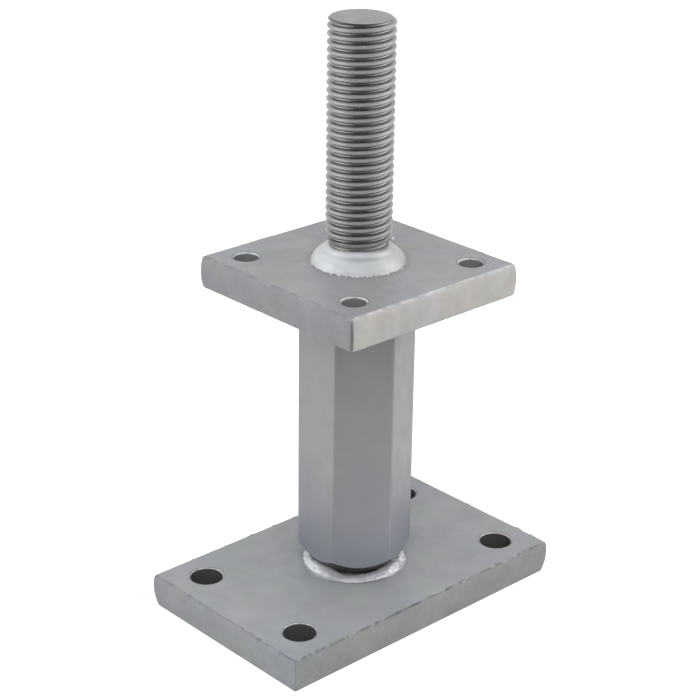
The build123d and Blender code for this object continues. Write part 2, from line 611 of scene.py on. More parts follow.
blank_radius = sleeve_radius + BLANK_MARGIN
root_radius = sleeve_bore + SLEEVE_ROOT_LAND
top_radius = flat_radius - SLEEVE_TOP_LAND
bevel_top = sleeve_low.z + (blank_radius - root_radius)
chamfer_foot = sleeve_high.z - (blank_radius - top_radius) * math.tan(SLEEVE_TOP_ANGLE)
turned_blank = turned(
    "turned_blank",
    [
        (sleeve_bore, sleeve_low.z + FOOT_BREAK),
        (sleeve_bore + FOOT_BREAK, sleeve_low.z),
        (root_radius, sleeve_low.z),
        (blank_radius, bevel_top),
        (blank_radius, chamfer_foot),
        (top_radius, sleeve_high.z),
        (sleeve_bore + SLEEVE_MOUTH, sleeve_high.z),
        (sleeve_bore, sleeve_high.z - SLEEVE_MOUTH),
        (sleeve_bore, sleeve_low.z + FOOT_BREAK),
    ],
    TURNING_STEPS,
)
cut(hex_sleeve, turned_blank, "INTERSECT")
heal(hex_sleeve)
smooth(hex_sleeve, degrees=25)
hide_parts("hex_sleeve")
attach(hex_sleeve, "base")
print("sleeve:", count(hex_sleeve), "triangles")

# %% [markdown]
# ## The thread
#
# A coarse metric thread climbs 3.5 mm at each turn. It is rolled, so crest and root are both
# rounded. One pitch of the outline is drawn as an open line, and Blender's Screw modifier winds
# it round the axis. The winding starts below the rod and ends above it, and two flat cuts leave
# the length of the real rod. The end chamfer comes last: every point near an end that stands
# outside the chamfer's cone is drawn in to it. So are the points just above the head plate's bead,
# because there the heat of welding has taken the last turns of the thread down to its root.

# %% Wind the thread
PITCH = 3.5 * MM
CREST_RADIUS = 14.78 * MM
ROOT_RADIUS = 12.95 * MM
END_CHAMFER = 1.15 * MM
NECK_LEVEL = head_bead_high.z - 0.9 * MM
NECK_LENGTH = 2.0 * MM
NECK_SKIN = 0.15 * MM
NECK_SLOPE = 0.5
TURN_STEPS = 96
# Turns wound below the rod, and turns in all beyond its length, for the flat cuts to take off
TURNS_BELOW = 1.5
SPARE_TURNS = 3
# Share of the pitch, and share of the depth, at each point from a root up to the crest
THREAD_RISE = [
    (0.00, 0.00),
    (0.08, 0.04),
    (0.16, 0.24),
    (0.26, 0.66),
    (0.34, 0.88),
    (0.42, 0.98),
    (0.50, 1.00),
]
THREAD_FALL = [(1 - share, depth) for share, depth in reversed(THREAD_RISE[:-1])]

thread_depth = CREST_RADIUS - ROOT_RADIUS
thread_start = rod_low.z - TURNS_BELOW * PITCH
thread_profile = [
    (ROOT_RADIUS + depth * thread_depth, thread_start + share * PITCH)
    for share, depth in THREAD_RISE + THREAD_FALL
]
threaded_rod = draw("threaded_rod_steel", thread_profile)
start_clean()
modify(
    threaded_rod,
    "SCREW",
    axis="Z",
    angle=math.tau,
    screw_offset=PITCH,
    iterations=math.ceil((rod_high.z - rod_low.z) / PITCH) + SPARE_TURNS,
    steps=TURN_STEPS,
    render_steps=TURN_STEPS,
    use_merge_vertices=True,
    merge_threshold=SAME_LEVEL,
)
heal(threaded_rod)
for level, normal in ((rod_high.z, 1), (rod_low.z, -1)):
    edit(threaded_rod, action="SELECT")
    bpy.ops.mesh.bisect(
        plane_co=(0, 0, level),
        plane_no=(0, 0, normal),
        use_fill=True,
        clear_outer=True,
        threshold=0.001 * MM,
    )
bpy.ops.object.mode_set(mode="OBJECT")
for vertex in threaded_rod.data.vertices:
    from_end = min(rod_high.z - vertex.co.z, vertex.co.z - rod_low.z)
    from_neck = max(0.0, abs(vertex.co.z - NECK_LEVEL) - NECK_LENGTH / 2)
    reach = math.hypot(vertex.co.x, vertex.co.y)
    in_neck = ROOT_RADIUS + NECK_SKIN + NECK_SLOPE * from_neck
    allowed = min(CREST_RADIUS - END_CHAMFER + from_end, in_neck)
    if reach > allowed:
        vertex.co.x *= allowed / reach
        vertex.co.y *= allowed / reach
smooth(threaded_rod, degrees=42)
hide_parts("threaded_rod")
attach(threaded_rod, "head")
print("threaded rod:", count(threaded_rod), "triangles")

# %% [markdown]
# ## The weld beads
#
# The head bead was laid in two passes, one above the other, and it is smooth and satin: a full
# lower pass that ends in a ragged toe on the plate, and a flatter upper pass that runs into the
# thread. The base bead is one rope of weld that fills the notch under the sleeve's bevel. Both
# start as a spun section with many points, because a spun ring alone is too even: noise of two
# sizes then makes the lumps and the ragged toe.

# %% Make the head bead
BEAD_STEPS = 360
# The section of the bead starts inside the rod, so that no gap shows between them
BEAD_HEART = ROOT_RADIUS - 0.3 * MM
VALLEY_SPREAD = 0.6 * MM
# The turn, in degrees, at which the valley between the passes is deepest
VALLEY_TURN = 235
lower_toe = (head_bead_high.x - 0.2 * MM, head_bead_low.z)
upper_toe = (head_bore + 0.7 * MM, head_bead_low.z + 5.6 * MM)
thread_edge = (ROOT_RADIUS + 0.12 * MM, head_bead_high.z - 1.5 * MM)


def swelling(start, end, bulge, steps):
    """Points from start to end that swell outwards in a soft curve."""
    run = end[0] - start[0]
    rise = end[1] - start[1]
    length = math.hypot(run, rise)
    points = []
    for step in range(1, steps + 1):
        share = step / steps
        out = bulge * math.sin(math.pi * share)
        across = start[0] + run * share + rise / length * out
        points.append((across, start[1] + rise * share - run / length * out))
    return points


head_bead_profile = (
    [(BEAD_HEART, head_bead_low.z), lower_toe]
    + swelling(lower_toe, upper_toe, bulge=0.8 * MM, steps=14)
    + swelling(upper_toe, thread_edge, bulge=0.6 * MM, steps=8)
    + [(BEAD_HEART, thread_edge[1]), (BEAD_HEART, head_bead_low.z)]
)
head_weld = turned("head_weld_bead", head_bead_profile, BEAD_STEPS)


def around(point, turn, width):
    """1 at a turn about the axis, fading within a width. Both are in degrees."""
    away = math.degrees(math.atan2(point.y, point.x)) - turn
    away = (away + 180) % 360 - 180
    return math.exp(-((away / width) ** 2))


def high_front(point):
    """The upper pass of the bead, where it was laid a little higher."""
    rise = (point.z - upper_toe[1]) / (thread_edge[1] - upper_toe[1])
    return around(point, turn=230, width=50) * max(0.0, rise)


def in_valley(point):
    """How deep a point lies in the valley between the two passes, from 0 to 1."""
    return math.exp(-(((point.z - upper_toe[1]) / VALLEY_SPREAD) ** 2))


def open_valley(point):
    """The part of the valley that the upper pass left open, which is its front, and where the
    material paints shade.
    """
    return in_valley(point) * (0.25 + 0.75 * around(point, VALLEY_TURN, width=32))


def filled_valley(point):
    """The part of the valley that the upper pass has run into."""
    return in_valley(point) * (1 - around(point, VALLEY_TURN, width=45))


# The material paints shade into the open front of the valley between the passes
mark(head_weld, "valley", open_valley)
# The material paints one side of the bead darker, as painted shade
mark(head_weld, "painted_shade", lambda point: around(point, turn=305, width=50))
swell(head_weld, weigh(head_weld, "filled_valley", filled_valley), 0.45 * MM)
swell(head_weld, weigh(head_weld, "high_front", high_front), 0.85 * MM, "Z")
all_over = weigh(head_weld, "all_over", lambda point: (point.z - head_bead_low.z) / MM * 0.5)
toe = weigh(head_weld, "toe", lambda point: 1 - (point.z - head_bead_low.z) / (1.4 * MM))
ruffle(head_weld, all_over, size=7 * MM, height=0.5 * MM, depth=1)
ruffle(head_weld, toe, size=0.9 * MM, height=1.3 * MM, middle_level=0.6)

# %% [markdown]
# Small drops of weld metal lie along the toe, mostly at the front, and one hangs on the thread
# just above the bead. A drop is a ball that is pressed flat and dented with noise. The places are
# drawn with a fixed seed, so that every run gives the same drops.

# %% Scatter the drops
DROP_TURNS = (40, 95, 158, 171, 183, 196, 204, 209, 214, 219, 224, 229, 236, 247, 262, 287)
DROP_FLATNESS = (1.2, 0.9, 0.7)
NECK_DROP_TURN = 308
NECK_DROP_RISE = 1.9 * MM
NECK_DROP_SIZE = 1.1 * MM
drop_places = random.Random(7)


def drop(place, size):
    """A drop of weld metal, flattened and dented."""
    start_clean()
    bpy.ops.mesh.primitive_ico_sphere_add(subdivisions=2, radius=size, location=place)
    piece = added("drop")
    edit(piece, action="SELECT")
    bpy.ops.transform.resize(value=DROP_FLATNESS, center_override=place)
    bpy.ops.object.mode_set(mode="OBJECT")
    ruffle(piece, weigh(piece, "dents", lambda point: 1), size=0.4 * MM, height=size * 0.6)
    return piece


def polar(turn, reach, level):
    """The place at a turn in degrees, a reach from the axis and a level."""
    angle = math.radians(turn)
    return (reach * math.cos(angle), reach * math.sin(angle), level)


drops = []
for turn in DROP_TURNS:
    turn += drop_places.uniform(-3, 3)
    reach = lower_toe[0] + drop_places.uniform(0.0, 0.7) * MM
    size = drop_places.uniform(0.3, 0.65) * MM
    drops.append(drop(polar(turn, reach, head_bead_low.z), size))
neck_place = polar(NECK_DROP_TURN, CREST_RADIUS - 0.1 * MM, head_bead_high.z + NECK_DROP_RISE)
drops.append(drop(neck_place, NECK_DROP_SIZE))
head_weld = join([head_weld] + drops)
smooth(head_weld, degrees=60)
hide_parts("head_weld")
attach(head_weld, "head")
print("head bead:", count(head_weld), "triangles")

# %% [markdown]
# The rope at the foot of the sleeve starts as half an ellipse that leans on the bevel. Nobody lays
# such a rope evenly, so its fuller, lumpy and sunken places are set one by one, each at its turn
# about the axis.

# %% Make the base bead
# Degrees round the section of the rope, and how high it climbs on the sleeve's bevel
ROPE_TURNS = range(0, 181, 12)
ROPE_BACK = 1.2 * MM
bead_middle = (20.3 * MM, base_bead_low.z + 0.5 * MM)
bead_half_width = 3.4 * MM
bead_half_height = 2.7 * MM
base_bead_profile = [(root_radius, base_bead_low.z)]
for turn in ROPE_TURNS:
    angle = math.radians(turn)
    base_bead_profile.append(
        (
            bead_middle[0] + bead_half_width * math.cos(angle),
            max(base_bead_low.z, bead_middle[1] + bead_half_height * math.sin(angle)),
        )
    )
base_bead_profile.append((root_radius, base_bead_low.z + ROPE_BACK))
base_bead_profile.append((root_radius, base_bead_low.z))
base_weld = turned("base_weld_bead", base_bead_profile, BEAD_STEPS)
# Turns in degrees, spreads in degrees and heights in mm of the places where the rope is fuller
FULL_PLACES = ((176, 30, 1.3), (299, 18, 1.5), (274, 10, 0.5), (30, 25, 0.5))


def fuller(point, turn, width):
    """How much of the rope's fuller place at a turn reaches a point above the plate."""
    return around(point, turn, width) * (point.z > base_bead_low.z + HAIR)


for turn, width, height in FULL_PLACES:
    place = weigh(base_weld, f"full_{turn}", lambda point: fuller(point, turn, width))
    swell(base_weld, place, height * MM)


def sunk_front(point):
    """The front of the rope, where it was laid thin and low."""
    return around(point, turn=226, width=30) * (point.z - base_bead_low.z) / (3 * MM)


swell(base_weld, weigh(base_weld, "sunk_front", sunk_front), -1.5 * MM, "Z")
rope = weigh(base_weld, "rope", lambda point: (point.z - base_bead_low.z) / MM)
lumps = weigh(base_weld, "lumps", lambda point: fuller(point, turn=296, width=22))
ruffle(base_weld, rope, size=3.5 * MM, height=0.8 * MM)
ruffle(base_weld, lumps, size=2.2 * MM, height=2.2 * MM)
smooth(base_weld, degrees=60)
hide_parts("base_weld")
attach(base_weld, "base")
print("base bead:", count(base_weld), "triangles")

# %% [markdown]
# ## Zinc
#
# The finish is the same bath of zinc on every piece, and it differs with what lies under it.
# Rolled plate comes out as a satin grey with faint clouds of blue, green and lilac; the thread is
# glossier, and weld metal is the brightest. So the clouds and the fine grain are two node groups,
# placed in each material with its own values.

# %% Build the shared finish groups


def new_group(name, inputs, outputs):
    """A node group with its way in and its way out.

    Its sockets are (name, kind, default) going in and (name, kind) coming out.
    """
    group = bpy.data.node_groups.new(name, "ShaderNodeTree")
    for socket_name, kind, default in inputs:
        socket = group.interface.new_socket(name=socket_name, in_out="INPUT", socket_type=kind)
        socket.default_value = default
    for socket_name, kind in outputs:
        group.interface.new_socket(name=socket_name, in_out="OUTPUT", socket_type=kind)
    return group, add(group, "NodeGroupInput"), add(group, "NodeGroupOutput")


def add(tree, kind, **settings):
    """Add a node and set its properties."""
    node = tree.nodes.new(kind)
    for name, value in settings.items():
        setattr(node, name, value)
    return node


def feed(tree, value, socket):
    """Link a socket to a socket, or write a plain number or an opaque colour into it."""
    if isinstance(value, bpy.types.NodeSocket):
        tree.links.new(value, socket)
    elif isinstance(value, tuple):
        socket.default_value = (*value, 1)
    else:
        socket.default_value = value


def fill(tree, node, values):
    """Feed several inputs of a node by their names."""
    for name, value in values.items():
        feed(tree, value, node.inputs[name])
    return node


def noise(tree, place, scale, detail, roughness=0.5):
    """A noise texture that reads a place. The larger its scale, the finer it is."""
    values = {"Vector": place, "Scale": scale, "Detail": detail, "Roughness": roughness}
    return fill(tree, add(tree, "ShaderNodeTexNoise"), values).outputs["Fac"]


def spread(tree, value, low, high, to_low=0.0, to_high=1.0):
    """Stretch a value from one range to another, and hold it there."""
    values = {"From Min": low, "From Max": high, "To Min": to_low, "To Max": to_high}
    node = fill(tree, add(tree, "ShaderNodeMapRange", clamp=True), {"Value": value, **values})
    return node.outputs["Result"]


def blended(tree, share, first, second, blend_type="MIX"):
    """Mix two colours by a share. Each is a socket or a plain colour."""
    node = add(tree, "ShaderNodeMix", data_type="RGBA", blend_type=blend_type)
    for value, place in ((share, 0), (first, 6), (second, 7)):
        feed(tree, value, node.inputs[place])
    return node.outputs[2]


def sums(tree, operation, *values):
    """One sum on sockets or numbers."""
    node = add(tree, "ShaderNodeMath", operation=operation)
    for value, socket in zip(values, node.inputs):
        feed(tree, value, socket)
    return node.outputs[0]


def parts_of(tree, vector):
    """The three numbers of a place or a direction."""
    parts = add(tree, "ShaderNodeSeparateXYZ")
    tree.links.new(vector, parts.inputs[0])
    return tuple(parts.outputs)


def own_place(tree):
    """The place on the piece, in metres: all three numbers together, and each by itself."""
    place = add(tree, "ShaderNodeTexCoord").outputs["Object"]
    return (place, *parts_of(tree, place))


def own_normal(tree):
    """The three numbers of the direction that the surface faces on the piece."""
    return parts_of(tree, add(tree, "ShaderNodeTexCoord").outputs["Normal"])


def marked(tree, name):
    """A value that was stored on the points of the piece."""
    return add(tree, "ShaderNodeAttribute", attribute_name=name).outputs["Fac"]


def from_axis(tree, along, across):
    """Distance from the upright axis."""
    squares = [sums(tree, "MULTIPLY", value, value) for value in (along, across)]
    return sums(tree, "SQRT", sums(tree, "ADD", *squares))


# %% Clouds in the zinc
COOL = (0.90, 0.97, 1.10)
GREEN = (0.95, 1.03, 0.99)
LILAC = (1.03, 0.98, 1.06)


def make_clouds():
    """Clouds of faint colour and of lighter and darker zinc over a base colour."""
    group, entry, exit_node = new_group(
        "zinc_clouds",
        [
            ("Base", "NodeSocketColor", (0.35, 0.36, 0.37, 1)),
            ("Colour Clouds", "NodeSocketFloat", 0.5),
            ("Light Clouds", "NodeSocketFloat", 0.5),
        ],
        [("Color", "NodeSocketColor")],
    )
    place = add(group, "ShaderNodeTexCoord").outputs["Object"]
    tint = blended(group, spread(group, noise(group, place, 42, 2), 0.35, 0.65), COOL, LILAC)
    tint = blended(group, spread(group, noise(group, place, 61, 1), 0.45, 0.70), tint, GREEN)
    light = spread(group, noise(group, place, 75, 4, 0.6), 0.3, 0.7, 0.86, 1.12)
    base = entry.outputs["Base"]
    tinted = blended(group, entry.outputs["Colour Clouds"], base, tint, "MULTIPLY")
    lit = blended(group, entry.outputs["Light Clouds"], tinted, light, "MULTIPLY")
    fill(group, exit_node, {"Color": lit})
    return group


zinc_clouds = make_clouds()

# %% Grain of the zinc


def make_grain():
    """A fine satin grain: a height for the bump and a change of roughness."""
    group, entry, exit_node = new_group(
        "zinc_grain",
        [("Scale", "NodeSocketFloat", 1800.0)],
        [("Height", "NodeSocketFloat"), ("Roughness Change", "NodeSocketFloat")],
    )
    place = add(group, "ShaderNodeTexCoord").outputs["Object"]
    fine = noise(group, place, entry.outputs["Scale"], 3)
    change = noise(group, place, 130, 3)
    fill(group, exit_node, {"Height": fine, "Roughness Change": change})
    return group


zinc_grain = make_grain()

# %% [markdown]
# On a plate the broad faces are rolled and its sides are cut, and each kind of face gets its own
# grey. These greys are partly the finish and mostly painted light and shade: each side is painted
# lighter or darker as the light falls on it, and the rounded corners darker, as a painted reflection
# of the dark room. A group tells them apart by the direction that the surface faces. A second group
# finds the line along the upper edges, a painted highlight with painted shade in it: on the head
# plate it is nearly whole, and on the base plate noise breaks it into burrs.

# %% Sides and edges of a plate


def make_plate_sides():
    """A colour for each kind of face of a plate, mostly painted light and shade."""
    names = ("Flat", "Long Sides", "Ends", "Corners")
    group, entry, exit_node = new_group(
        "plate_sides",
        [(name, "NodeSocketColor", (0.35, 0.35, 0.35, 1)) for name in names],
        [("Color", "NodeSocketColor")],
    )
    along, across, _ = own_normal(group)
    along = sums(group, "ABSOLUTE", along)
    across = sums(group, "ABSOLUTE", across)
    colour = entry.outputs["Flat"]
    colour = blended(group, spread(group, along, 0.55, 0.8), colour, entry.outputs["Ends"])
    colour = blended(group, spread(group, across, 0.55, 0.8), colour, entry.outputs["Long Sides"])
    corner = spread(group, sums(group, "MULTIPLY", along, across), 0.34, 0.47)
    colour = blended(group, corner, colour, entry.outputs["Corners"])
    fill(group, exit_node, {"Color": colour})
    return group


def make_edge_lines():
    """Masks for the painted highlights and painted shade along the upper edges of a plate."""
    sizes = ("Half Length", "Half Width", "Top", "Reach", "Ragged")
    group, entry, exit_node = new_group(
        "edge_lines",
        [(name, "NodeSocketFloat", 0.05) for name in sizes],
        [("Long Edges", "NodeSocketFloat"), ("End Edges", "NodeSocketFloat")],
    )
    place, along, across, up = own_place(group)
    below = sums(group, "SUBTRACT", entry.outputs["Top"], up)
    ragged = spread(group, noise(group, place, 330, 3), 0.3, 0.7, -0.7, 0.7)
    for value, size, name in (
        (across, "Half Width", "Long Edges"),
        (along, "Half Length", "End Edges"),
    ):
        inside = sums(group, "SUBTRACT", entry.outputs[size], sums(group, "ABSOLUTE", value))
        away = sums(group, "MAXIMUM", inside, below)
        share = sums(group, "DIVIDE", away, entry.outputs["Reach"])
        share = sums(group, "ADD", share, sums(group, "MULTIPLY", ragged, entry.outputs["Ragged"]))
        fill(group, exit_node, {name: spread(group, share, 0.55, 1.0, 1.0, 0.0)})
    return group


plate_sides = make_plate_sides()
edge_lines = make_edge_lines()
print("finish groups:", ", ".join(group.name for group in bpy.data.node_groups))

# %% [markdown]
# Now the materials. They share one recipe: a base colour that runs through the clouds, a grain
# that changes roughness and bump, and a share of metal, which is low where the coat is matt and
# high in the thread. What differs most is the base colour, and where it changes over the piece.

# %% The recipe for zinc


def zinc(name, metallic, roughness, grain_scale, grain_depth, clouds=0.5, lights=0.5, shine=0.5):
    """A zinc finish that still needs its base colour."""
    material = bpy.data.materials.new(name)
    material.use_nodes = True
    tree = material.node_tree
    cloud = add(tree, "ShaderNodeGroup", node_tree=zinc_clouds, name="clouds")
    fill(tree, cloud, {"Colour Clouds": clouds, "Light Clouds": lights})
    grain = add(tree, "ShaderNodeGroup", node_tree=zinc_grain)
    fill(tree, grain, {"Scale": grain_scale})
    change = grain.outputs["Roughness Change"]
    rough = spread(tree, change, 0.3, 0.7, roughness - 0.05, roughness + 0.06)
    bump = add(tree, "ShaderNodeBump")
    height = grain.outputs["Height"]
    fill(tree, bump, {"Strength": 0.6, "Distance": grain_depth, "Height": height})
    shader_values = {
        "Base Color": cloud.outputs["Color"],
        "Metallic": metallic,
        "Roughness": rough,
        "Specular IOR Level": shine,
        "Normal": bump.outputs["Normal"],
    }
    fill(tree, tree.nodes["Principled BSDF"], shader_values)
    return material


def paint(material, colour):
    """Give a zinc material its base colour: a plain one, or one that changes over the piece."""
    fill(material.node_tree, material.node_tree.nodes["clouds"], {"Base": colour})


# %% Plate materials
BEAD_FOOT_SHADE = (0.85, 0.84, 0.85)
BEAD_FOOT_SHADE_WIDTH = 3 * MM
RIM_HIGHLIGHT = (0.62, 0.62, 0.61)


def plate_zinc(
    name, face_colours, line_colours, whole, hole_wall, high, inset, reach, bead_radius, shine
):
    """The zinc of one plate: its faces, its edge lines, its hole walls, highlights painted on its
    hole rims and a ring of painted shade round the bead.
    """
    material = zinc(
        name, metallic=0.2, roughness=0.48, grain_scale=1700, grain_depth=0.02 * MM, shine=shine
    )
    tree = material.node_tree
    place, along, across, _ = own_place(tree)
    # Each kind of face gets its own grey: mostly painted light and shade, as the light falls on it
    sides = add(tree, "ShaderNodeGroup", node_tree=plate_sides)
    fill(tree, sides, face_colours)
    lines = add(tree, "ShaderNodeGroup", node_tree=edge_lines)
    line_sizes = {
        "Half Length": high.x - inset,
        "Half Width": high.y - inset,
        "Top": high.z,
        "Reach": reach,
        "Ragged": 1 - whole,
    }
    fill(tree, lines, line_sizes)
    speckle = spread(tree, noise(tree, place, 300, 4), 0.40, 0.64)
    breaks = spread(tree, noise(tree, place, 150, 3), 0.36, 0.60, whole, 1.0)
    _, _, facing_up = own_normal(tree)
    on_cut = spread(tree, sums(tree, "ABSOLUTE", facing_up), 0.5, 0.7, 1.0, 0.0)
    blotch = spread(tree, noise(tree, place, 140, 4, 0.6), 0.36, 0.62, 0.95, 1.04)
    colour = blended(tree, on_cut, sides.outputs["Color"], blotch, "MULTIPLY")
    # Painted highlights and painted shade along the upper edges: bright specks for glints, dark ones
    # for shade
    for line, (painted_shade, bright) in line_colours.items():
        line_colour = blended(tree, speckle, painted_shade, bright)
        share = sums(tree, "MULTIPLY", lines.outputs[line], breaks)
        colour = blended(tree, share, colour, line_colour)
    # A ring of painted shade round the foot of the bead, on the top face only
    radius = from_axis(tree, along, across)
    ring = spread(tree, radius, bead_radius, bead_radius + BEAD_FOOT_SHADE_WIDTH, 1.0, 0.0)
    ring = sums(tree, "MULTIPLY", ring, spread(tree, facing_up, 0.5, 0.7))
    colour = blended(tree, ring, colour, BEAD_FOOT_SHADE, "MULTIPLY")
    # The rims of the holes get a painted highlight, broken by noise
    rim_highlight_breaks = spread(tree, noise(tree, place, 420, 2), 0.40, 0.58, 0.35, 1.0)
    rim = sums(tree, "MULTIPLY", marked(tree, "rim"), rim_highlight_breaks)
    colour = blended(tree, rim, colour, RIM_HIGHLIGHT)
    # The hole walls are painted dark: partly their own dull finish, partly painted shade inside the
    # holes
    paint(material, blended(tree, marked(tree, "hole"), colour, hole_wall))
    return material


# The base's long sides are painted darker than its ends, and its corners darker still: painted shade
base_zinc = plate_zinc(
    "base_plate_zinc",
    {
        "Flat": (0.348, 0.354, 0.36),
        "Long Sides": (0.257, 0.259, 0.247),
        "Ends": (0.272, 0.278, 0.281),
        "Corners": (0.22, 0.225, 0.23),
    },
    {
        "End Edges": ((0.18, 0.178, 0.20), (0.28, 0.275, 0.30)),
        "Long Edges": ((0.13, 0.13, 0.13), (0.40, 0.40, 0.39)),
    },
    whole=0.25,
    hole_wall=(0.08, 0.08, 0.08),
    high=base_high,
    inset=base_levels[-2][1],
    reach=0.9 * MM,
    bead_radius=base_bead_high.x,
    shine=0.12,
)
# The head's long sides are painted bright and warm, and its corners dark: painted light and shade
head_zinc = plate_zinc(
    "head_plate_zinc",
    {
        "Flat": (0.305, 0.307, 0.309),
        "Long Sides": (0.396, 0.375, 0.349),
        "Ends": (0.235, 0.230, 0.239),
        "Corners": (0.16, 0.16, 0.16),
    },
    {
        "End Edges": ((0.215, 0.212, 0.225), (0.31, 0.305, 0.315)),
        "Long Edges": ((0.44, 0.43, 0.42), (0.56, 0.55, 0.54)),
    },
    whole=0.75,
    hole_wall=(0.20, 0.20, 0.20),
    high=head_high,
    inset=head_levels[-2][1],
    reach=0.85 * MM,
    bead_radius=head_bead_high.x,
    shine=0.5,
)

# %% [markdown]
# The sleeve is painted a little bluer and darker towards the weld at its foot, a painted reflection
# of the base plate and painted shade, and its bevel is painted nearly black as painted shade. On the
# thread the crests are matt with zinc. The flanks of the grooves are painted darker as painted
# shade, and the grooves mirror more, so they go nearly black where they face the dark room and stay
# grey at the sides of the rod. A dark line is painted round each end of the rod: the painted shade
# of the lip that the saw left. The rope of weld at the foot has streaks that run along it.

# %% Sleeve, thread and weld materials
BEVEL_SHADE = (0.05, 0.05, 0.052)
FOOT_REFLECTION_AND_SHADE = (0.269, 0.278, 0.308)
SLEEVE_GREY = (0.309, 0.300, 0.294)
# Heights above the foot between which the painted reflection and shade fade out
FOOT_REFLECTION_FADE = (12 * MM, 80 * MM)
END_FACE = (0.20, 0.20, 0.20)
END_LIP_SHADE = (0.07, 0.07, 0.07)
CREST = (0.33, 0.33, 0.325)
GROOVE_SHADE = (0.25, 0.25, 0.248)
GROOVE_FLOOR = (0.32, 0.32, 0.32)
HEAD_BEAD = (0.58, 0.595, 0.60)
BEAD_SHADED_SIDE = (0.44, 0.44, 0.435)
BEAD_VALLEY_SHADE = (0.38, 0.39, 0.395)
ROPE_DARK = (0.46, 0.47, 0.49)
ROPE_LIGHT = (0.70, 0.71, 0.72)
# The shorter this is, the longer the streaks run round the rope
STREAK_LENGTH = 3 * MM

sleeve_zinc = zinc(
    "sleeve_zinc",
    metallic=0.30,
    roughness=0.48,
    grain_scale=1500,
    grain_depth=0.015 * MM,
    clouds=0.35,
    lights=0.25,
    shine=0.3,
)
tree = sleeve_zinc.node_tree
_, _, _, up = own_place(tree)
_, _, facing_up = own_normal(tree)
# Bluer and darker towards the foot: a painted reflection of the base plate and painted shade
above_foot = sums(tree, "SUBTRACT", up, sleeve_low.z)
near_foot = spread(tree, above_foot, *FOOT_REFLECTION_FADE, 1.0, 0.0)
colour = blended(tree, near_foot, SLEEVE_GREY, FOOT_REFLECTION_AND_SHADE)
# The bevel faces down into the notch over the bead and is painted nearly black: painted shade
on_bevel = spread(tree, facing_up, -0.6, -0.4, 1.0, 0.0)
paint(sleeve_zinc, blended(tree, on_bevel, colour, BEVEL_SHADE))

thread_zinc = zinc(
    "thread_zinc",
    metallic=0.9,
    roughness=0.30,
    grain_scale=2200,
    grain_depth=0.01 * MM,
    clouds=0.15,
    lights=0.4,
)
tree = thread_zinc.node_tree
_, along, across, up = own_place(tree)
_, _, facing_up = own_normal(tree)
radius = from_axis(tree, along, across)
above_root = sums(tree, "DIVIDE", sums(tree, "SUBTRACT", radius, ROOT_RADIUS), thread_depth)
on_crest = spread(tree, above_root, 0.45, 0.75)
on_end = spread(tree, sums(tree, "ABSOLUTE", facing_up), 0.93, 0.97)
on_metal = sums(tree, "MAXIMUM", on_crest, on_end)
# The flanks of the grooves are painted darker, as painted shade; each groove's floor keeps about the
# crest's grey
on_floor = spread(tree, above_root, 0.0, 0.10, 1.0, 0.0)
groove = blended(tree, on_floor, GROOVE_SHADE, GROOVE_FLOOR)
bare = blended(tree, on_end, CREST, END_FACE)
# A dark ring round each end of the rod: the painted shade of the saw's lip
below_top = sums(tree, "SUBTRACT", rod_high.z, up)
from_end = sums(tree, "MINIMUM", below_top, sums(tree, "SUBTRACT", up, rod_low.z))
past_end = spread(tree, from_end, 0.02 * MM, 0.08 * MM)
on_lip_shade = sums(tree, "MULTIPLY", past_end, spread(tree, from_end, 0.35 * MM, 0.5 * MM, 1.0, 0.0))
colour = blended(tree, on_metal, groove, bare)
paint(thread_zinc, blended(tree, on_lip_shade, colour, END_LIP_SHADE))
metal = spread(tree, on_metal, 0, 1, 0.95, 0.45)
fill(tree, tree.nodes["Principled BSDF"], {"Metallic": metal})

BEAD_GRAIN = {"grain_scale": 1400, "grain_depth": 0.02 * MM, "clouds": 0.3}
head_bead_zinc = zinc("head_bead_zinc", metallic=0.25, roughness=0.36, **BEAD_GRAIN)
tree = head_bead_zinc.node_tree
# One side of the bead is painted darker: painted shade
colour = blended(tree, marked(tree, "painted_shade"), HEAD_BEAD, BEAD_SHADED_SIDE)
# The open front of the valley between the passes is painted darker: painted shade
paint(head_bead_zinc, blended(tree, marked(tree, "valley"), colour, BEAD_VALLEY_SHADE))

base_bead_zinc = zinc("base_bead_zinc", metallic=0.3, roughness=0.26, **BEAD_GRAIN)
tree = base_bead_zinc.node_tree
_, along, across, up = own_place(tree)
turn = sums(tree, "MULTIPLY", sums(tree, "ARCTAN2", across, along), STREAK_LENGTH)
wrapped = add(tree, "ShaderNodeCombineXYZ")
fill(tree, wrapped, {"X": turn, "Y": from_axis(tree, along, across), "Z": up})
streak = spread(tree, noise(tree, wrapped.outputs[0], 600, 3), 0.40, 0.60)
paint(base_bead_zinc, blended(tree, streak, ROPE_DARK, ROPE_LIGHT))

for piece, material in (
    (base_plate, base_zinc),
    (head_plate, head_zinc),
    (hex_sleeve, sleeve_zinc),
    (threaded_rod, thread_zinc),
    (head_weld, head_bead_zinc),
    (base_weld, base_bead_zinc),
):
    piece.data.materials.clear()
    piece.data.materials.append(material)
    print(piece.name, "wears", material.name)

# %% [markdown]
# ## Floor and light
#
# The part stands on a plain white floor under soft light. The floor is white by itself wherever
# the camera or a reflection looks at it, and keeps the part's own shadow. The lamps stay at a
# plain level, so a colour comes out about as it is written.

# %% Lay the floor
FLOOR_GLOW = 0.54
FLOOR_SIZE = 6
FLOOR_GAP = 0.02 * MM

start_clean()
bpy.ops.mesh.primitive_plane_add(size=FLOOR_SIZE, location=(0, 0, -FLOOR_GAP))
floor = bpy.context.object
floor.name = "floor"
floor_material = bpy.data.materials.new("floor_white")
floor_material.use_nodes = True
floor_tree = floor_material.node_tree


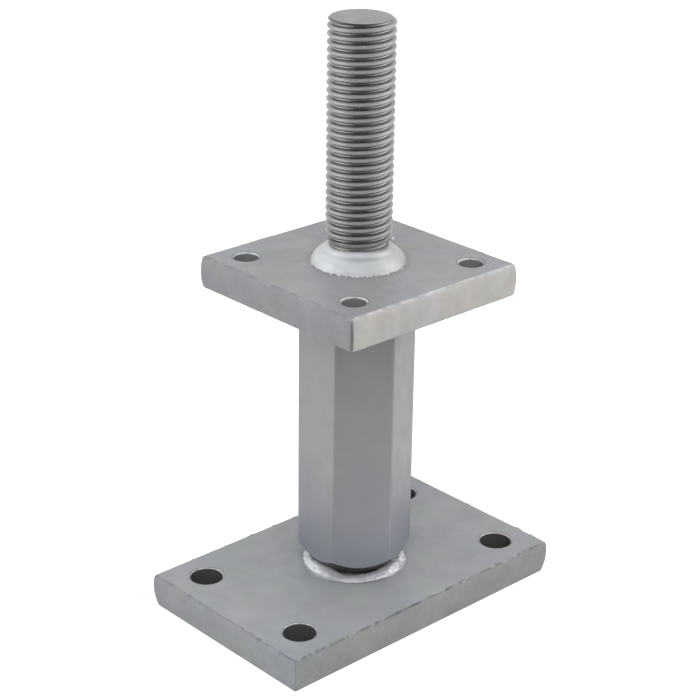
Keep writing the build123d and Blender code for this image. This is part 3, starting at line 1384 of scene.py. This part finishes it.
def looked_at(tree):
    """1 where the camera, a reflection or a see-through piece looks, 0 for plain light."""
    path = add(tree, "ShaderNodeLightPath").outputs
    seen = sums(tree, "MAXIMUM", path["Is Camera Ray"], path["Is Glossy Ray"])
    return sums(tree, "MAXIMUM", seen, path["Is Transmission Ray"])


floor_values = {
    "Base Color": (0.8, 0.8, 0.8),
    "Roughness": 1.0,
    "Specular IOR Level": 0.0,
    "Emission Color": (1, 1, 1),
    "Emission Strength": spread(floor_tree, looked_at(floor_tree), 0, 1, 0.0, FLOOR_GLOW),
}
fill(floor_tree, floor_tree.nodes["Principled BSDF"], floor_values)
floor.data.materials.append(floor_material)
print("floor laid", round(FLOOR_GAP / MM, 2), "mm below the part")

# %% [markdown]
# Bare metal under even light looks flat. Behind a camera the room is dark, and the surfaces that
# face the camera reflect that and gain contrast. Three cloths stand for it here: one on the floor
# in front of the part, one hanging behind the camera and one overhead. Only reflections may see
# them, so they throw no shadow and take no light away.

# %% Hang the dark cloths
CLOTH_TURN = math.radians(227)
cloth_material = bpy.data.materials.new("cloth_grey")
cloth_material.use_nodes = True
cloth_tree = cloth_material.node_tree
cloth_values = {"Base Color": (0.08, 0.08, 0.085), "Roughness": 1.0}
fill(cloth_tree, cloth_tree.nodes["Principled BSDF"], cloth_values)


def hang_cloth(name, reach, height, tilt, length, width):
    """A dark cloth on the camera's side that only reflections see."""
    start_clean()
    bpy.ops.mesh.primitive_plane_add(
        size=1,
        location=(reach * math.cos(CLOTH_TURN), reach * math.sin(CLOTH_TURN), height),
        rotation=(0, math.radians(tilt), CLOTH_TURN),
    )
    cloth = bpy.context.object
    cloth.name = name
    cloth.scale = (length, width, 1)
    cloth.data.materials.append(cloth_material)
    cloth.visible_camera = False
    cloth.visible_diffuse = False
    cloth.visible_shadow = False
    cloth.visible_transmission = False


hang_cloth("floor_cloth", reach=0.51, height=0.1 * MM, tilt=0, length=0.8, width=0.56)
hang_cloth("hung_cloth", reach=1.4, height=0.9, tilt=90, length=1.8, width=2.6)
hang_cloth("roof_cloth", reach=0.7, height=1.8, tilt=0, length=1.5, width=2.6)
print("cloths hang at a turn of", round(math.degrees(CLOTH_TURN)), "degrees")

# %% [markdown]
# The world gives soft light from all sides, and four square lamps shape the part. The two large
# ones stand on the camera's side and stay out of reflections, so they leave no glint. The two
# small ones, left and right, may be reflected: they draw the highlights on the beads and the rod.

# %% Light the part
SOFT_LEVEL = 0.56
world = bpy.data.worlds.new("studio")
bpy.context.scene.world = world
world.use_nodes = True
world_tree = world.node_tree
world_strength = spread(world_tree, looked_at(world_tree), 0, 1, SOFT_LEVEL, 1.0)
world_values = {"Color": (1, 1, 1), "Strength": world_strength}
fill(world_tree, world_tree.nodes["Background"], world_values)


def soft_lamp(name, place, size, power, in_reflections=True):
    """A square lamp that points at the middle of the part."""
    data = bpy.data.lights.new(name, "AREA")
    data.shape = "SQUARE"
    data.size = size
    data.energy = power
    lamp = bpy.data.objects.new(name, data)
    bpy.context.scene.collection.objects.link(lamp)
    lamp.location = place
    lamp.rotation_mode = "QUATERNION"
    lamp.rotation_quaternion = (part_middle - Vector(place)).to_track_quat("-Z", "Y")
    lamp.visible_glossy = in_reflections


part_middle = Vector((0, 0, (base_low.z + rod_high.z) / 2))
soft_lamp("top_lamp", (-0.4, -0.45, 1.6), size=1.4, power=7.5, in_reflections=False)
soft_lamp("fill_lamp", (-0.7, -0.75, 1.0), size=1.2, power=8, in_reflections=False)
soft_lamp("left_lamp", (-0.85, 0.6, 0.5), size=0.9, power=2.5)
soft_lamp("right_lamp", (0.85, -0.6, 0.5), size=0.9, power=3)
print("lamps:", ", ".join(sorted(light.name for light in bpy.data.lights)))
